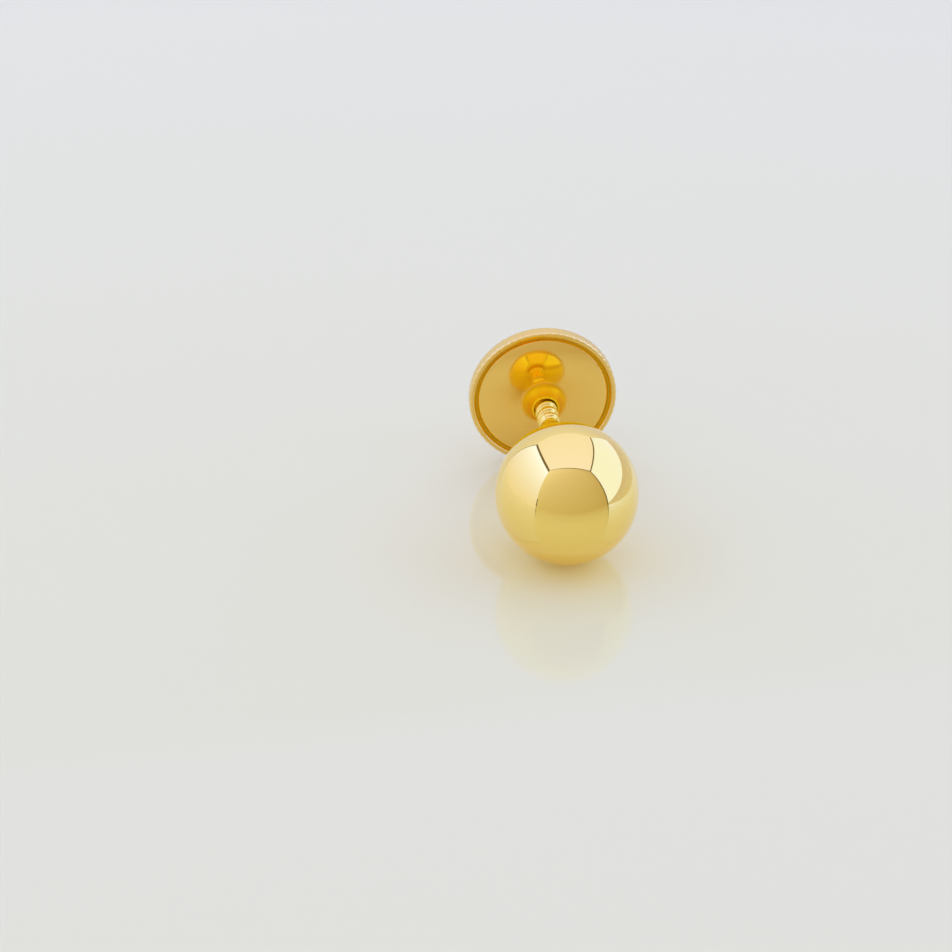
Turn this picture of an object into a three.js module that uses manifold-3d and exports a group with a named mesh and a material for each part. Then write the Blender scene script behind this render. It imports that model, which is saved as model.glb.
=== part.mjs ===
// Ball stud earring with a threaded post and a domed screw back, lying on a table.
// Millimetres, +Z up. The post runs along +Y, away from the ball, and climbs a little,
// because the stud rests on the ball and on the wider rim of its screw back.
import * as THREE from 'three';
import { mergeVertices } from 'three/addons/utils/BufferGeometryUtils.js';
import Module from 'manifold-3d';

// Ball
const ballDiameter = 5;
const ballSides = 48;
const ballRows = 20;

// Post, soldered to the ball: a plain neck, then a rolled thread
const neckDiameter = 0.7;
const neckLength = 2.1;
const solderFillet = 0.16;
const threadDiameter = 0.84;
const threadDepth = 0.09;
const threadPitch = 0.44;
const postLength = 8;
const tipBevel = 0.14;
const postSides = 16;
const rowsPerTurn = 5;

// Screw back: a thin domed disc with a drawn collar, a rear tube and a reeded rim
const lobeGap = 4.2;
const rimDiameter = 5.6;
const rimWidth = 0.355;
const rimDepth = 0.42;
const beadHeight = 0.1;
const grooveWidth = 0.14;
const grooveDepth = 0.1;
const rimEdge = 0.07;
const reedCount = 60;
const reedDepth = 0.03;
const domeRise = 0.3;
const domePower = 3;
const sheetThickness = 0.28;
const collarWall = 0.06;
const collarHeight = 0.55;
const collarFlare = 0.42;
const tubeWall = 0.32;
const lipBevel = 0.02;
const threadClearance = 0.06;

// Sizes that follow from those above
const ballRadius = ballDiameter / 2;
const neckRadius = neckDiameter / 2;
const crestRadius = threadDiameter / 2;
const boreRadius = crestRadius + threadClearance;
const rimRadius = rimDiameter / 2;
const grooveRadius = rimRadius - rimWidth;
const backStation = ballRadius + lobeGap;

const points = (pairs) => pairs.map(([x, y]) => new THREE.Vector2(x, y));

// Turns vertices about the Y axis and hands each one's radius, angle and height to a function
// that gives its new radius.
function reshapeRadius(geometry, newRadius) {
  const position = geometry.attributes.position;
  for (let i = 0; i < position.count; i++) {
    const x = position.getX(i);
    const z = position.getZ(i);
    const radius = Math.hypot(x, z);
    if (radius < 1e-9) continue;
    const scale = newRadius(radius, Math.atan2(x, z), position.getY(i)) / radius;
    position.setX(i, x * scale);
    position.setZ(i, z * scale);
  }
  return geometry;
}

// A closed geometry with shared corners, ready to be joined.
function welded(geometry) {
  const bare = geometry.clone();
  bare.deleteAttribute('normal');
  bare.deleteAttribute('uv');
  return mergeVertices(bare, 1e-5);
}

async function joined(first, second) {
  const wasm = await Module();
  wasm.setup();
  const [a, b] = [first, second].map((geometry) => {
    const source = welded(geometry);
    const mesh = new wasm.Mesh({
      numProp: 3,
      vertProperties: new Float32Array(source.attributes.position.array),
      triVerts: new Uint32Array(source.index.array),
    });
    return new wasm.Manifold(mesh);
  });
  const result = a.add(b).getMesh();
  const geometry = new THREE.BufferGeometry();
  geometry.setAttribute('position', new THREE.BufferAttribute(result.vertProperties, 3));
  geometry.setIndex(new THREE.BufferAttribute(result.triVerts, 1));
  geometry.computeVertexNormals();
  return geometry;
}

// The ball, with one of its long flats facing straight down.
function ball() {
  const meridian = [];
  for (let i = 0; i <= ballRows; i++) {
    const angle = Math.PI * i / ballRows;
    const radius = i % ballRows === 0 ? 0 : ballRadius * Math.sin(angle);
    meridian.push([radius, -ballRadius * Math.cos(angle)]);
  }
  const geometry = new THREE.LatheGeometry(points(meridian), ballSides);
  return geometry.rotateY(Math.PI / ballSides);
}

// The post from inside the ball to its bevelled tip. The thread is one right-handed ridge,
// a cosine wave of the radius, that grows out of the neck and dies away before the tip.
function post() {
  const footRadius = neckRadius + solderFillet;
  const foot = Math.sqrt(ballRadius ** 2 - footRadius ** 2);
  const neckEnd = ballRadius + neckLength;
  const tip = ballRadius + postLength;
  const threadEnd = tip - tipBevel;
  const rootRadius = crestRadius - threadDepth;
  const turns = (threadEnd - neckEnd) / threadPitch;
  const rows = Math.ceil(turns * rowsPerTurn);
  const profile = [[0, foot - solderFillet], [footRadius, foot - solderFillet], [footRadius, foot]];
  profile.push([neckRadius, foot + solderFillet * 1.3], [neckRadius, neckEnd]);
  for (let i = 1; i <= rows; i++) {
    profile.push([rootRadius, neckEnd + (threadEnd - neckEnd) * i / rows]);
  }
  profile.push([rootRadius - tipBevel, tip], [0, tip]);
  const ridge = (radius, angle, height) => {
    const inside = Math.min(height - neckEnd, threadEnd - height);
    if (inside <= 0) return radius;
    const fade = Math.min(1, inside / threadPitch * 2);
    const wave = Math.cos(2 * Math.PI * height / threadPitch - angle);
    return radius + threadDepth * fade * (0.5 + 0.5 * wave);
  };
  return reshapeRadius(new THREE.LatheGeometry(points(profile), postSides), ridge);
}

// Height of the domed face at a radius, from the groove inside the rim. Towards the ball is minus.
const domeHeight = (radius) => -domeRise * (1 - (radius / grooveRadius) ** domePower);

// The section of the screw back, once round: the collar's mouth, its flare, the dome, the groove,
// the bead of the rim, the reeded wall, its flat back, the hollow behind, the tube and the bore.
function backSection() {
  const mouth = boreRadius + collarWall;
  const front = domeHeight(mouth) - collarHeight;
  const flareEnd = mouth + collarFlare;
  const tubeRadius = boreRadius + tubeWall;
  const section = points([
    [boreRadius, front + lipBevel],
    [boreRadius + lipBevel, front],
    [mouth - lipBevel, front],
  ]);
  const flare = new THREE.QuadraticBezierCurve(
    new THREE.Vector2(mouth, front + lipBevel),
    new THREE.Vector2(mouth + collarFlare * 0.3, domeHeight(mouth)),
    new THREE.Vector2(flareEnd, domeHeight(flareEnd)),
  );
  section.push(...flare.getPoints(5));
  const steps = 6;
  for (let i = 1; i <= steps; i++) {
    const radius = flareEnd + (grooveRadius - flareEnd) * i / steps;
    section.push(new THREE.Vector2(radius, domeHeight(radius)));
  }
  section.push(new THREE.Vector2(grooveRadius + grooveWidth / 2, grooveDepth));
  const beadHalf = (rimWidth - grooveWidth) / 2;
  const bead = new THREE.EllipseCurve(rimRadius - beadHalf, 0, beadHalf, beadHeight, Math.PI, 2 * Math.PI);
  section.push(...bead.getPoints(6));
  section.push(...points([
    [rimRadius, rimDepth - rimEdge],
    [rimRadius - rimEdge, rimDepth],
    [grooveRadius + rimEdge, rimDepth],
  ]));
  for (let i = 0; i < steps; i++) {
    const radius = grooveRadius + (tubeRadius - grooveRadius) * i / steps;
    section.push(new THREE.Vector2(radius, domeHeight(radius) + sheetThickness));
  }
  section.push(...points([
    [tubeRadius, domeHeight(tubeRadius) + sheetThickness],
    [tubeRadius, rimDepth],
    [boreRadius, rimDepth],
    [boreRadius, front + lipBevel],
  ]));
  return section;
}

// The screw back. Every second step round is the bottom of a reed, so two crests meet the table.
function screwBack() {
  const step = Math.PI / reedCount;
  const reeded = (radius, angle) => {
    const crest = Math.abs(Math.round(angle / step)) % 2 === 1;
    return crest ? radius : Math.min(radius, rimRadius - reedDepth);
  };
  return reshapeRadius(new THREE.LatheGeometry(backSection(), 2 * reedCount), reeded);
}

const polishedGold = new THREE.MeshStandardMaterial({ color: 0xe9c46a, roughness: 0.08, metalness: 1 });
const satinGold = new THREE.MeshStandardMaterial({ color: 0xe3b34c, roughness: 0.18, metalness: 1 });

const ballAndPost = new THREE.Mesh(await joined(ball(), post()), polishedGold);
ballAndPost.name = 'ball_and_post';

const back = new THREE.Mesh(screwBack(), satinGold);
back.name = 'screw_back';
back.position.y = backStation;

// The stud lies on the flat of the ball and on two crests of the rim, which sets its tilt.
const ballFlat = ballRadius * Math.cos(Math.PI / ballSides);
const rimFlat = rimRadius * Math.cos(Math.PI / reedCount);
const stud = new THREE.Group();
stud.add(ballAndPost, back);
stud.rotation.x = Math.atan2(rimFlat - ballFlat, backStation);

// Its own box decides where it stands: centred over the origin, with its underside at zero.
const box = new THREE.Box3().setFromObject(stud, true);
stud.position.set(-(box.min.x + box.max.x) / 2, -(box.min.y + box.max.y) / 2, -box.min.z);

export default stud;
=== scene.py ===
"""A gold ball stud earring on a white table: polished ball, threaded post, domed screw back."""
import math

import bpy
import numpy as np
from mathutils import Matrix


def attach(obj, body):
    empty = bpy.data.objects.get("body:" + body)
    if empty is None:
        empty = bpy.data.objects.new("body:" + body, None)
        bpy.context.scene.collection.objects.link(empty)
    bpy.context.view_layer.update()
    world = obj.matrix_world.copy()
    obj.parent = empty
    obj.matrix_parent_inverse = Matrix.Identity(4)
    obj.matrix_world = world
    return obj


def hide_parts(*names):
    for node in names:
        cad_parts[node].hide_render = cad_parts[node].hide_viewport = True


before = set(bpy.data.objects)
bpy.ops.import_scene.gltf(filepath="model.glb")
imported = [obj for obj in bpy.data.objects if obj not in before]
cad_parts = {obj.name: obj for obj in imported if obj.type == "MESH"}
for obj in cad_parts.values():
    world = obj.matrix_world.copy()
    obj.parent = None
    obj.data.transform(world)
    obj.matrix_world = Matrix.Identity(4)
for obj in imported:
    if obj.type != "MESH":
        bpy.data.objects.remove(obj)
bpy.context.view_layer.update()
scene = bpy.context.scene
scene.view_settings.view_transform = "Standard"


# Camera
# A close view from above and a little to the left of the ball, at the photo's angle.
HEADING = math.radians(5.24)
ELEVATION = math.radians(29.62)
CAMERA_DISTANCE = 0.0630
AIM = np.array([-0.0030176, -0.0024890, 0.0025])
LENS_MM = 67.63
SENSOR_MM = 36
NEAREST, FARTHEST = 0.001, 3

look = np.array([
    math.sin(HEADING) * math.cos(ELEVATION),
    math.cos(HEADING) * math.cos(ELEVATION),
    -math.sin(ELEVATION),
])
camera_data = bpy.data.cameras.new("camera")
camera_data.lens = LENS_MM
camera_data.sensor_width = SENSOR_MM
camera_data.clip_start = NEAREST
camera_data.clip_end = FARTHEST
camera = bpy.data.objects.new("camera", camera_data)
scene.collection.objects.link(camera)
camera.location = AIM - CAMERA_DISTANCE * look
camera.rotation_euler = (math.pi / 2 - ELEVATION, 0, -HEADING)
scene.camera = camera


# Table
# A smooth white sheet with a low gloss. It shows a faint, soft mirror image of the stud.
# A painted warm glow round the ball, an emission, stands in for the light that the gold throws on
# it. It ends at the foot of the light tent.
TABLE_CORNERS = [(-0.193, -0.165, 0), (0.262, -0.130, 0), (-0.265, 0.340, 0), (0.256, 0.430, 0)]
TABLE_COLOUR = (0.845, 0.80, 0.425, 1)
TABLE_ROUGHNESS = 0.06
TABLE_IOR = 1.6
# A painted warm glow on the table round the ball: its place, its radius and its colour.
PAINTED_GLOW_PLACE = (0.3e-3, -4.2e-3, 0)
PAINTED_GLOW_RADIUS = 2.3e-3
PAINTED_GLOW_COLOUR = (0.13, 0.105, 0.045, 1)


def grid_faces(rows, columns, wrap=False, ring=False):
    """Quads that join each point of a grid to the next in its row and its column. With wrap
    each row closes on itself, and with ring the last row joins the first."""
    row, column = np.meshgrid(np.arange(rows if ring else rows - 1),
                              np.arange(columns if wrap else columns - 1), indexing="ij")
    next_row, next_column = (row + 1) % rows, (column + 1) % columns
    corners = [row * columns + column, row * columns + next_column,
               next_row * columns + next_column, next_row * columns + column]
    return np.stack(corners, axis=-1).reshape(-1, 4)


def new_piece(name, points, faces, material, smooth=True):
    """An object at the origin whose mesh has these points, in metres, and faces."""
    mesh = bpy.data.meshes.new(name)
    mesh.from_pydata(points.tolist(), [], [list(face) for face in faces])
    mesh.validate()
    mesh.polygons.foreach_set("use_smooth", np.full(len(mesh.polygons), smooth))
    mesh.materials.append(material)
    mesh.update()
    piece = bpy.data.objects.new(name, mesh)
    scene.collection.objects.link(piece)
    return piece


def heading_to_row(points):
    """Turns (right, away, up) of the camera's heading into the row frame."""
    right = np.array([math.cos(HEADING), -math.sin(HEADING), 0])
    away = np.array([math.sin(HEADING), math.cos(HEADING), 0])
    return points @ np.stack([right, away, (0, 0, 1)])


def new_material(name):
    """A node material, its node tree and its Principled shader."""
    material = bpy.data.materials.new(name)
    material.use_nodes = True
    return material, material.node_tree, material.node_tree.nodes["Principled BSDF"]


def math_node(tree, operation, *values):
    """The result of a Math node. Each value is a number, or the output that it comes from."""
    node = tree.nodes.new("ShaderNodeMath")
    node.operation = operation
    for socket, value in zip(node.inputs, values):
        if isinstance(value, bpy.types.NodeSocket):
            tree.links.new(value, socket)
        else:
            socket.default_value = value
    return node.outputs[0]


# The painted warm glow fades as exp(-(distance / radius) ** 2).
table_material, tree, shader = new_material("white_table")
shader.inputs["Base Color"].default_value = TABLE_COLOUR
shader.inputs["Roughness"].default_value = TABLE_ROUGHNESS
shader.inputs["IOR"].default_value = TABLE_IOR
shader.inputs["Emission Color"].default_value = PAINTED_GLOW_COLOUR
place = tree.nodes.new("ShaderNodeTexCoord")
distance = tree.nodes.new("ShaderNodeVectorMath")
distance.operation = "DISTANCE"
distance.inputs[1].default_value = PAINTED_GLOW_PLACE
tree.links.new(place.outputs["Object"], distance.inputs[0])
radii = math_node(tree, "DIVIDE", distance.outputs["Value"], PAINTED_GLOW_RADIUS)
painted_glow = math_node(tree, "POWER", math.exp(-1), math_node(tree, "POWER", radii, 2))
tree.links.new(painted_glow, shader.inputs["Emission Strength"])

table_points = heading_to_row(np.array(TABLE_CORNERS))
table = new_piece("table", table_points, grid_faces(2, 2), table_material, smooth=False)


# Light tent
# White cloth panels round the table, lit from outside: a ceiling, a wall on each side,
# the sweep behind and the dimmer side towards the camera. The polished gold mirrors them,
# and thin gaps between them show as dark seams.
TENT_HEIGHT = 0.30
PANEL_STEPS = 12
WORLD_SEEN = (0.745, 0.745, 0.735, 1)
WORLD_LIGHT = (0.20, 0.16, 0.12, 1)

CEILING = (1.00, 1.05, 2.00)
CEILING_FAR = (0.97, 1.01, 1.60)
LEFT_BRIGHT = (1.08, 1.37, 3.55)
LEFT_LOW = (0.90, 0.90, 1.20)
RIGHT_BRIGHT = (0.98, 1.20, 2.50)
RIGHT_LOW = (0.67, 0.65, 0.82)
SWEEP = (0.78, 0.80, 0.95)
SWEEP_RIGHT = (0.69, 0.67, 0.86)
SWEEP_HIGH = (0.86, 0.89, 1.25)
CORNER_GAP = (0.06, 0.03, 0.02)
FRONT_LEFT = (0.98, 0.97, 1.28)
FRONT_RIGHT = (0.64, 0.56, 0.50)
FRONT_LEFT_LOW = (0.70, 0.65, 0.54)
FRONT_RIGHT_LOW = (0.55, 0.47, 0.32)

# Each panel has four corners (right, away, up) in shares of the tent's height, in the order
# near-low, near-high, far-high, far-low, and the light that it gives at each of them.
PANELS = {
    "ceiling": (
        [(-0.53, -0.35, 1), (0.66, -0.35, 1), (0.66, 1.42, 1), (-0.815, 1.16, 1)],
        [CEILING, CEILING, CEILING_FAR, CEILING_FAR]),
    "left_wall": (
        [(-0.62, -0.52, 0), (-0.585, -0.50, 1), (-0.865, 1.07, 1), (-0.85, 1.07, 0)],
        [LEFT_LOW, LEFT_BRIGHT, LEFT_BRIGHT, LEFT_LOW]),
    "right_wall": (
        [(0.82, -0.40, 0.02), (0.71, -0.36, 1), (0.71, 1.35, 1), (0.76, 1.35, 0.32)],
        [RIGHT_BRIGHT] * 4),
    "right_foot": (
        [(0.86, -0.42, 0), (0.84, -0.42, 0.03), (0.79, 1.38, 0.33), (0.81, 1.38, 0)],
        [RIGHT_LOW, RIGHT_LOW, SWEEP_RIGHT, SWEEP_RIGHT]),
    "sweep": (
        [(-0.87, 1.12, 0), (-0.87, 1.12, 1.02), (0.76, 1.40, 1.02), (0.84, 1.42, 0)],
        [SWEEP, SWEEP_HIGH, SWEEP_HIGH, SWEEP_RIGHT]),
    "corner_gap": (
        [(-0.616, -0.508, 0.03), (-0.611, -0.505, 0.17), (-0.590, -0.508, 0.17),
         (-0.592, -0.511, 0.03)],
        [CORNER_GAP] * 4),
    "front": (
        [(-0.63, -0.54, 0), (-0.55, -0.36, 1), (0.69, -0.38, 1), (0.84, -0.45, 0)],
        [FRONT_LEFT_LOW, FRONT_LEFT, FRONT_RIGHT, FRONT_RIGHT_LOW]),
}


def panel_points(corners, steps):
    """Points of a flat panel: each is the mean of the four corners, weighted by how far it
    lies along the two edges."""
    u, v = np.meshgrid(np.linspace(0, 1, steps), np.linspace(0, 1, steps))
    weights = np.stack([(1 - u) * (1 - v), (1 - u) * v, u * v, u * (1 - v)], axis=-1)
    return (weights @ np.array(corners, float)).reshape(-1, len(corners[0]))


def paint(piece, name, values):
    """Gives each point of a piece a number or a colour that its material reads."""
    if values.ndim == 1:
        attribute = piece.data.attributes.new(name, "FLOAT", "POINT")
        attribute.data.foreach_set("value", values.astype(np.float32))
    else:
        attribute = piece.data.color_attributes.new(name, "FLOAT_COLOR", "POINT")
        attribute.data.foreach_set("color", values.astype(np.float32).ravel())


def painted(tree, name):
    """The node that reads what paint gave the points under this name."""
    node = tree.nodes.new("ShaderNodeAttribute")
    node.attribute_name = name
    return node


cloth, tree, shader = new_material("lit_cloth")
tree.nodes.remove(shader)
emission = tree.nodes.new("ShaderNodeEmission")
tree.links.new(painted(tree, "glow").outputs["Color"], emission.inputs["Color"])
tree.links.new(emission.outputs[0], tree.nodes["Material Output"].inputs["Surface"])

for panel_name, (corners, lights) in PANELS.items():
    points = TENT_HEIGHT * heading_to_row(panel_points(corners, PANEL_STEPS))
    faces = grid_faces(PANEL_STEPS, PANEL_STEPS)
    panel = new_piece(panel_name, points, faces, cloth, smooth=False)
    opaque = np.ones((len(points), 1))
    paint(panel, "glow", np.concatenate([panel_points(lights, PANEL_STEPS), opaque], axis=1))
    panel.visible_camera = False

# The room round the tent: white as the camera sees it, and a dim warm light in the seams.
world = bpy.data.worlds.new("world")
scene.world = world
world.use_nodes = True
tree = world.node_tree
path = tree.nodes.new("ShaderNodeLightPath")
room = tree.nodes.new("ShaderNodeMix")
room.data_type = "RGBA"
room.inputs["A"].default_value = WORLD_LIGHT
room.inputs["B"].default_value = WORLD_SEEN
tree.links.new(path.outputs["Is Camera Ray"], room.inputs["Factor"])
tree.links.new(room.outputs["Result"], tree.nodes["Background"].inputs["Color"])


# Ball
# A hollow ball pressed from two cups and polished to a mirror, with the post soldered into
# its back. The solder leaves a small smooth fillet.
BALL_RADIUS = 2.4920e-3
NECK_RADIUS = 0.35e-3
FILLET_RADIUS = 0.16e-3
FILLET_FOOT = 0.6 * NECK_RADIUS
BALL_CENTRE = np.array([0, -4.000227e-3, 2.492125e-3])
TILT = math.radians(2.5767)
BALL_SEGMENTS = 224
BALL_ROWS = 150
FRONT_POLE = 179.6
GOLD = (0.98, 0.74, 0.21, 1)
DEEP_GOLD = (0.98, 0.69, 0.02, 1)
MARK_STRETCH = (1, 8, 1)
MARK_TURN = (0.4, 0.3, 0.7)
MARKS_PER_WAVE = 5
MARK_DETAIL = 4
WAVE_DETAIL = 1


def along_post(profile, segments, radius_of=None):
    """Turns a profile of (station, radius) about the post's axis. The axis starts at the
    ball's centre and climbs by the tilt. radius_of may change the radius by the angle."""
    turn = np.arange(segments) * 2 * np.pi / segments
    station = np.repeat(profile[:, :1], segments, axis=1)
    radius = np.repeat(profile[:, 1:], segments, axis=1)
    if radius_of is not None:
        radius = radius_of(station, radius, turn[None, :])
    x = radius * np.sin(turn)
    rise = radius * np.cos(turn)
    y = station * math.cos(TILT) - rise * math.sin(TILT)
    z = station * math.sin(TILT) + rise * math.cos(TILT)
    return np.stack([x, y, z], axis=-1).reshape(-1, 3) + BALL_CENTRE


def capped_faces(rows, segments):
    """Faces of a turned piece, pointing outwards, for a profile that runs towards the tip.
    The first and last rows are closed with one face each."""
    sides = grid_faces(rows, segments, wrap=True)[:, ::-1].tolist()
    first_cap = list(range(segments))
    last_cap = list(range((rows - 1) * segments, rows * segments))[::-1]
    return sides + [first_cap, last_cap]


def arc(centre, radii, start, end, steps):
    """Points (station, radius) of an arc: the centre plus the radii, along and across the
    axis, times the cosine and the sine of an angle in degrees from the axis."""
    angle = np.radians(np.linspace(start, end, steps))
    return np.array(centre) + np.array(radii) * np.stack([np.cos(angle), np.sin(angle)], axis=-1)


def polish_group():
    """Polishing marks: fine stretched noise changes the roughness a little, and a slow noise
    is the height of the soft waves that hand polishing leaves."""
    group = bpy.data.node_groups.new("polish_marks", "ShaderNodeTree")
    for socket in ("Scale", "Roughness", "Spread"):
        group.interface.new_socket(socket, in_out="INPUT", socket_type="NodeSocketFloat")
    for socket in ("Roughness", "Waves"):
        group.interface.new_socket(socket, in_out="OUTPUT", socket_type="NodeSocketFloat")
    nodes, links = group.nodes, group.links
    source, result = nodes.new("NodeGroupInput"), nodes.new("NodeGroupOutput")
    place = nodes.new("ShaderNodeTexCoord")
    stretch = nodes.new("ShaderNodeMapping")
    stretch.inputs["Scale"].default_value = MARK_STRETCH
    stretch.inputs["Rotation"].default_value = MARK_TURN
    marks = nodes.new("ShaderNodeTexNoise")
    marks.inputs["Detail"].default_value = MARK_DETAIL
    waves = nodes.new("ShaderNodeTexNoise")
    waves.inputs["Detail"].default_value = WAVE_DETAIL
    links.new(place.outputs["Object"], stretch.inputs["Vector"])
    links.new(stretch.outputs["Vector"], marks.inputs["Vector"])
    links.new(place.outputs["Object"], waves.inputs["Vector"])
    links.new(source.outputs["Scale"], waves.inputs["Scale"])
    finer = math_node(group, "MULTIPLY", source.outputs["Scale"], MARKS_PER_WAVE)
    links.new(finer, marks.inputs["Scale"])
    roughness = math_node(group, "MULTIPLY_ADD", marks.outputs["Fac"],
                          source.outputs["Spread"], source.outputs["Roughness"])
    links.new(roughness, result.inputs["Roughness"])
    links.new(waves.outputs["Fac"], result.inputs["Waves"])
    return group


POLISH = polish_group()


def gold_material(name, colour, roughness, spread, scale, wave_height):
    """Polished gold: a metal whose roughness and height come from the polishing marks. Seen
    in another mirror it has the deeper colour of gold that reflects gold. To light that the
    table scatters it is a plain golden surface, so the table gets its glow."""
    material, tree, shader = new_material(name)
    path = tree.nodes.new("ShaderNodeLightPath")
    shade = tree.nodes.new("ShaderNodeMix")
    shade.name = "Shade"
    shade.data_type = "RGBA"
    shade.inputs["A"].default_value = colour
    shade.inputs["B"].default_value = DEEP_GOLD
    tree.links.new(path.outputs["Is Glossy Ray"], shade.inputs["Factor"])
    tree.links.new(shade.outputs["Result"], shader.inputs["Base Color"])
    metal = math_node(tree, "SUBTRACT", 1, path.outputs["Is Diffuse Ray"])
    tree.links.new(metal, shader.inputs["Metallic"])
    marks = tree.nodes.new("ShaderNodeGroup")
    marks.name = "Marks"
    marks.node_tree = POLISH
    marks.inputs["Scale"].default_value = scale
    marks.inputs["Roughness"].default_value = roughness
    marks.inputs["Spread"].default_value = spread
    tree.links.new(marks.outputs["Roughness"], shader.inputs["Roughness"])
    height = tree.nodes.new("ShaderNodeBump")
    height.inputs["Strength"].default_value = 1
    height.inputs["Distance"].default_value = wave_height
    tree.links.new(marks.outputs["Waves"], height.inputs["Height"])
    tree.links.new(height.outputs["Normal"], shader.inputs["Normal"])
    return material


# The ball's arc meets the fillet's arc where the line between their centres crosses it.
centre_distance = BALL_RADIUS + FILLET_RADIUS
fillet_offset = NECK_RADIUS + FILLET_RADIUS
fillet_station = math.sqrt(centre_distance ** 2 - fillet_offset ** 2)
meeting = math.degrees(math.asin(fillet_offset / centre_distance))
ball_profile = np.concatenate([
    arc((0, 0), BALL_RADIUS, FRONT_POLE, meeting, BALL_ROWS),
    arc((fillet_station, fillet_offset), FILLET_RADIUS, 180 + meeting, 270, 10)[1:],
    [(fillet_station, FILLET_FOOT)],
])
ball_gold = gold_material("ball_gold", GOLD, roughness=0.03, spread=0.02,
                          scale=600, wave_height=0.4e-6)
ball = new_piece("polished_ball", along_post(ball_profile, BALL_SEGMENTS),
                 capped_faces(len(ball_profile), BALL_SEGMENTS), ball_gold)
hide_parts("ball_and_post")
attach(ball, "ball_and_post")


# Post
# Gold wire soldered into the ball: a plain neck, then a rolled right-handed thread to the
# bevelled tip.
NECK_START = 2.30e-3
NECK_STOP = 4.55e-3
NECK_ROWS = 12
THREAD_START = 4.60e-3
TIP = 10.5e-3
TIP_BEVEL = 0.14e-3
TIP_ROUNDING = 0.02e-3
THREAD_END = TIP - TIP_BEVEL
CREST_RADIUS = 0.42e-3
THREAD_DEPTH = 0.10e-3
THREAD_PITCH = 0.44e-3
THREAD_FULLNESS = 1.8
ROWS_PER_TURN = 22
POST_SEGMENTS = 96
POST_GOLD = (0.96, 0.69, 0.15, 1)


def ramp(values, start, end):
    """A share that goes evenly from 0 at start to 1 at end, and stays so beyond them."""
    return np.clip((values - start) / (end - start), 0, 1)


def straight(start, end, radius, steps):
    """Points (station, radius) of a straight stretch along the axis."""
    return np.stack([np.linspace(start, end, steps), np.full(steps, radius)], axis=-1)


def thread_radius(station, radius, turn):
    """A rounded ridge that winds round the post once for each pitch: the root's radius plus
    the depth times a smoothed wave of the station less the turn. It fades at both ends."""
    inside = np.minimum(station - THREAD_START, THREAD_END - station)
    wave = np.cos(2 * np.pi * station / THREAD_PITCH - turn)
    ridge = 0.5 + 0.5 * np.tanh(THREAD_FULLNESS * wave) / math.tanh(THREAD_FULLNESS)
    return radius + THREAD_DEPTH * ramp(inside, 0, THREAD_PITCH / 2) * ridge


thread_rows = int((THREAD_END - THREAD_START) / THREAD_PITCH * ROWS_PER_TURN)
root_radius = CREST_RADIUS - THREAD_DEPTH
tip_radius = root_radius - TIP_BEVEL
post_profile = np.concatenate([
    straight(NECK_START, NECK_STOP, NECK_RADIUS, NECK_ROWS),
    straight(THREAD_START, THREAD_END, root_radius, thread_rows),
    [(TIP - TIP_ROUNDING, tip_radius + TIP_ROUNDING), (TIP, tip_radius - TIP_ROUNDING / 2)],
])
post_gold = gold_material("post_gold", POST_GOLD, roughness=0.12, spread=0.06,
                          scale=1500, wave_height=0.5e-6)
post = new_piece("threaded_post", along_post(post_profile, POST_SEGMENTS, thread_radius),
                 capped_faces(len(post_profile), POST_SEGMENTS), post_gold)
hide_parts("ball_and_post")
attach(post, "ball_and_post")


# Screw back
# Pressed from gold sheet: a shallow dome with a drawn collar that takes the thread, a
# rounded rim with a fine groove inside it and reeding on its edge, and a plain tube behind.
BACK_STATION = 6.7e-3
BORE_RADIUS = 0.43e-3
MOUTH_RADIUS = 0.51e-3
COLLAR_HEIGHT = 0.55e-3
COLLAR_FLARE = 0.42e-3
COLLAR_END = MOUTH_RADIUS + COLLAR_FLARE
COLLAR_LEAN = 0.3
DOME_RISE = 0.30e-3
DOME_POWER = 3
SHEET = 0.28e-3
GROOVE_RADIUS = 2.445e-3
GROOVE_DEPTH = 0.10e-3
GROOVE_WIDTH = 0.14e-3
GROOVE_MIDDLE = GROOVE_RADIUS + GROOVE_WIDTH / 2
GROOVE_OUTSIDE = GROOVE_RADIUS + GROOVE_WIDTH
DOME_END = GROOVE_RADIUS - 0.02e-3
RIM_RADIUS = 2.796e-3
RIM_DEPTH = 0.42e-3
RIM_EDGE = 0.07e-3
BEAD_HEIGHT = 0.10e-3
BEAD_RADIUS = (RIM_RADIUS - GROOVE_OUTSIDE) / 2
WALL_START = 0.06e-3
TUBE_RADIUS = 0.80e-3
SMALL_BEVEL = 0.03e-3
BORE_BEVEL = 0.04e-3
HOLLOW_START = GROOVE_RADIUS - 0.08e-3
HOLLOW_END = TUBE_RADIUS + 0.10e-3
REEDS = 60
REED_DEPTH = 0.022e-3
REEDS_START = RIM_RADIUS - 0.14e-3
REEDS_FADE = 0.10e-3
WALL_REEDS = 0.6
SHOULDER_STATION = BACK_STATION + 0.02e-3
SHOULDER_WIDTH = 0.09e-3
BACK_SEGMENTS = REEDS * 8
BACK_GOLD = (0.93, 0.62, 0.16, 1)
# Painted shade that darkens the groove.
GROOVE_PAINTED_SHADE_GOLD = (0.56, 0.36, 0.02, 1)
# Painted highlight: the rim is paler, as if it mirrors the bright ceiling.
RIM_PAINTED_HIGHLIGHT_GOLD = (0.90, 0.64, 0.20, 1)
COLLAR_GOLD = (0.93, 0.46, 0.003, 1)
# Painted light that brightens the collar's lip against the shade of the mouth.
LIP_PAINTED_LIGHT_GOLD = (1.00, 0.66, 0.01, 1)
GROOVE_SHADE_WIDTH = 0.06e-3
GROOVE_SHADE_DEPTH = 0.2e-3
COLLAR_FADE = 0.15e-3
LIP_END = MOUTH_RADIUS + 0.02e-3
LIP_FADE = 0.03e-3
RIM_FADE = 0.05e-3
WALL_EDGE = RIM_RADIUS - 0.06e-3
COLLAR_SATIN = 0.30
WALL_SATIN = 0.13


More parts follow.
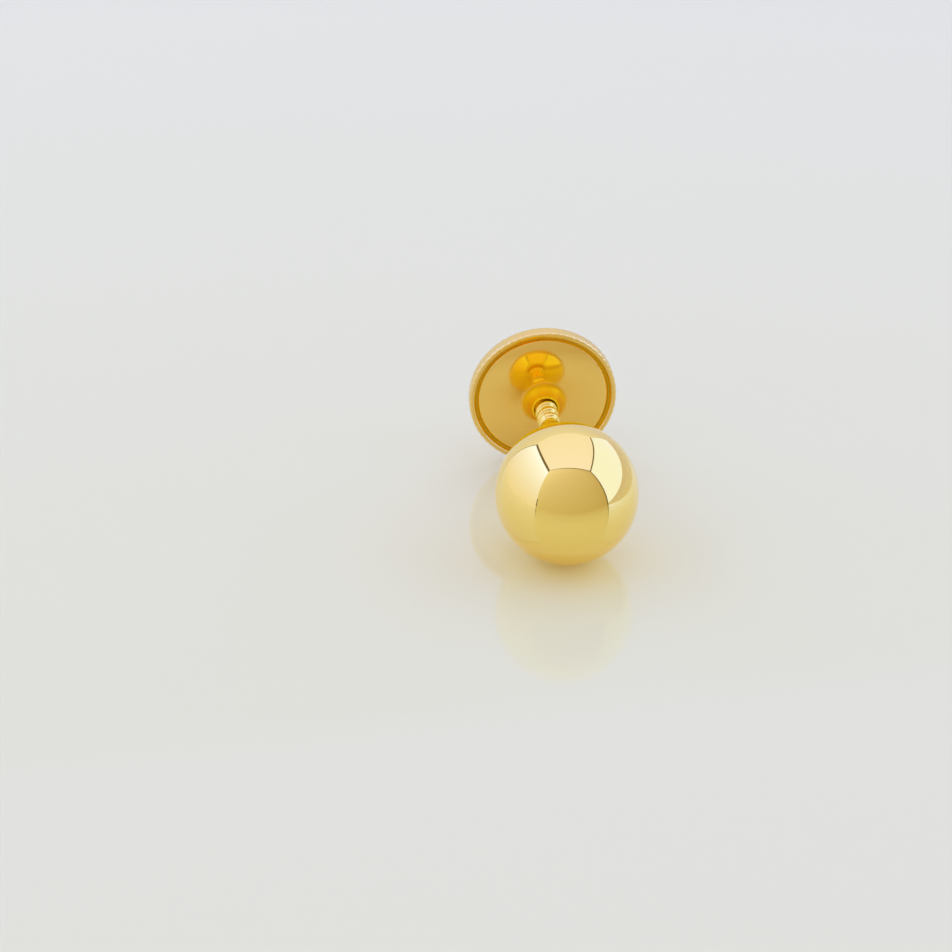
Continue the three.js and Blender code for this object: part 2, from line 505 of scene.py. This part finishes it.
def dome_height(radius):
    """Station of the domed face from the groove's plane, towards the ball: the rise times one
    less the cube of the radius in shares of the groove's."""
    return -DOME_RISE * (1 - (radius / GROOVE_RADIUS) ** DOME_POWER)


def domed(start, end, steps):
    """Points (station, radius) of the domed face between two radii."""
    radius = np.linspace(start, end, steps)
    return np.stack([dome_height(radius), radius], axis=-1)


def curve(start, bend, end, steps):
    """Points of a quadratic curve from start to end that leans towards bend."""
    t = np.linspace(0, 1, steps)[:, None]
    start, bend, end = np.array(start), np.array(bend), np.array(end)
    return (1 - t) ** 2 * start + 2 * t * (1 - t) * bend + t ** 2 * end


def back_profile():
    """The section of the screw back, once round: lip, collar, dome, groove, bead, wall,
    flat back, hollow, tube and bore."""
    dome_top = dome_height(MOUTH_RADIUS)
    lip = (MOUTH_RADIUS - BORE_RADIUS) / 2
    lip_station = dome_top - COLLAR_HEIGHT + lip
    tube_foot = dome_height(TUBE_RADIUS) + SHEET
    section = np.concatenate([
        arc((lip_station, BORE_RADIUS + lip), lip, 270, 90, 9),
        curve((lip_station, MOUTH_RADIUS), (dome_top, MOUTH_RADIUS + COLLAR_LEAN * COLLAR_FLARE),
              (dome_height(COLLAR_END), COLLAR_END), 14)[1:],
        domed(COLLAR_END, DOME_END, 32)[1:],
        arc((0, GROOVE_MIDDLE), (GROOVE_DEPTH, GROOVE_WIDTH / 2), -90, 90, 11)[1:],
        arc((0, RIM_RADIUS - BEAD_RADIUS), (BEAD_HEIGHT, BEAD_RADIUS), 270, 90, 16)[1:],
        straight(WALL_START, RIM_DEPTH - RIM_EDGE, RIM_RADIUS, 5),
        arc((RIM_DEPTH - RIM_EDGE, RIM_RADIUS - RIM_EDGE), RIM_EDGE, 90, 0, 6)[1:],
        [(RIM_DEPTH, GROOVE_RADIUS + RIM_EDGE), (RIM_DEPTH - SMALL_BEVEL, GROOVE_RADIUS)],
        domed(HOLLOW_START, HOLLOW_END, 20) + (SHEET, 0),
        [(tube_foot, TUBE_RADIUS + SMALL_BEVEL), (tube_foot + BORE_BEVEL, TUBE_RADIUS)],
        [(RIM_DEPTH - SMALL_BEVEL, TUBE_RADIUS), (RIM_DEPTH, TUBE_RADIUS - SMALL_BEVEL)],
        [(RIM_DEPTH, BORE_RADIUS + BORE_BEVEL), (RIM_DEPTH - SMALL_BEVEL, BORE_RADIUS)],
    ])
    return section + (BACK_STATION, 0)


def swell(values, middle, width):
    """A share that is 1 at the middle and falls away on both sides, as exp(-(x / width) ** 2)
    of the distance x."""
    return np.exp(-((values - middle) / width) ** 2)


def reeded(station, radius, turn):
    """Reeds round the rim: notches with the shape of one less the size of a sine, deepest on
    the bead's shoulder and fainter along the outer wall."""
    notch = 1 - np.abs(np.sin(REEDS / 2 * turn))
    outside = ramp(radius, REEDS_START, REEDS_START + REEDS_FADE)
    depth = WALL_REEDS + (1 - WALL_REEDS) * swell(station, SHOULDER_STATION, SHOULDER_WIDTH)
    return radius - REED_DEPTH * notch * outside * depth


section = back_profile()
back_gold = gold_material("screw_back_gold", BACK_GOLD, roughness=0.06, spread=0.05,
                          scale=900, wave_height=8.0e-6)
back = new_piece("screw_back_disc", along_post(section, BACK_SEGMENTS, reeded),
                 grid_faces(len(section), BACK_SEGMENTS, wrap=True, ring=True)[:, ::-1], back_gold)

# The gold is darker in the groove, a painted shade, and warmer on the collar. A painted light
# brightens its lip against the shade of the mouth, and a painted highlight makes the rim paler.
# Each tint is a share, its colour and the colour that it takes the place of.
station, radius = (section - (BACK_STATION, 0)).T
groove_painted_shade_share = swell(radius, GROOVE_MIDDLE, GROOVE_SHADE_WIDTH) * (station < GROOVE_SHADE_DEPTH)
collar_share = ramp(radius, COLLAR_END, COLLAR_END - COLLAR_FADE)
lip_painted_light_share = ramp(radius, LIP_END, LIP_END - LIP_FADE)
rim_painted_highlight_share = ramp(radius, GROOVE_OUTSIDE, GROOVE_OUTSIDE + RIM_FADE)
tints = [
    (groove_painted_shade_share, GROOVE_PAINTED_SHADE_GOLD, BACK_GOLD),
    (collar_share, COLLAR_GOLD, BACK_GOLD),
    (lip_painted_light_share, LIP_PAINTED_LIGHT_GOLD, COLLAR_GOLD),
    (rim_painted_highlight_share, RIM_PAINTED_HIGHLIGHT_GOLD, BACK_GOLD),
]
shade = BACK_GOLD + sum(np.outer(share, np.subtract(new, old)) for share, new, old in tints)
paint(back, "shade", np.repeat(shade, BACK_SEGMENTS, axis=0))

# The drawn collar is satin, and the reeded wall of the rim a little less so.
wall_share = ramp(radius, WALL_EDGE, WALL_EDGE + RIM_FADE)
satin = np.maximum(COLLAR_SATIN * collar_share, WALL_SATIN * wall_share)
paint(back, "satin", np.repeat(satin, BACK_SEGMENTS))

tree = back_gold.node_tree
roughness = math_node(tree, "ADD", painted(tree, "satin").outputs["Fac"],
                      tree.nodes["Marks"].outputs["Roughness"])
tree.links.new(roughness, tree.nodes["Principled BSDF"].inputs["Roughness"])
tree.links.new(painted(tree, "shade").outputs["Color"], tree.nodes["Shade"].inputs["A"])
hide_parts("screw_back")
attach(back, "screw_back")
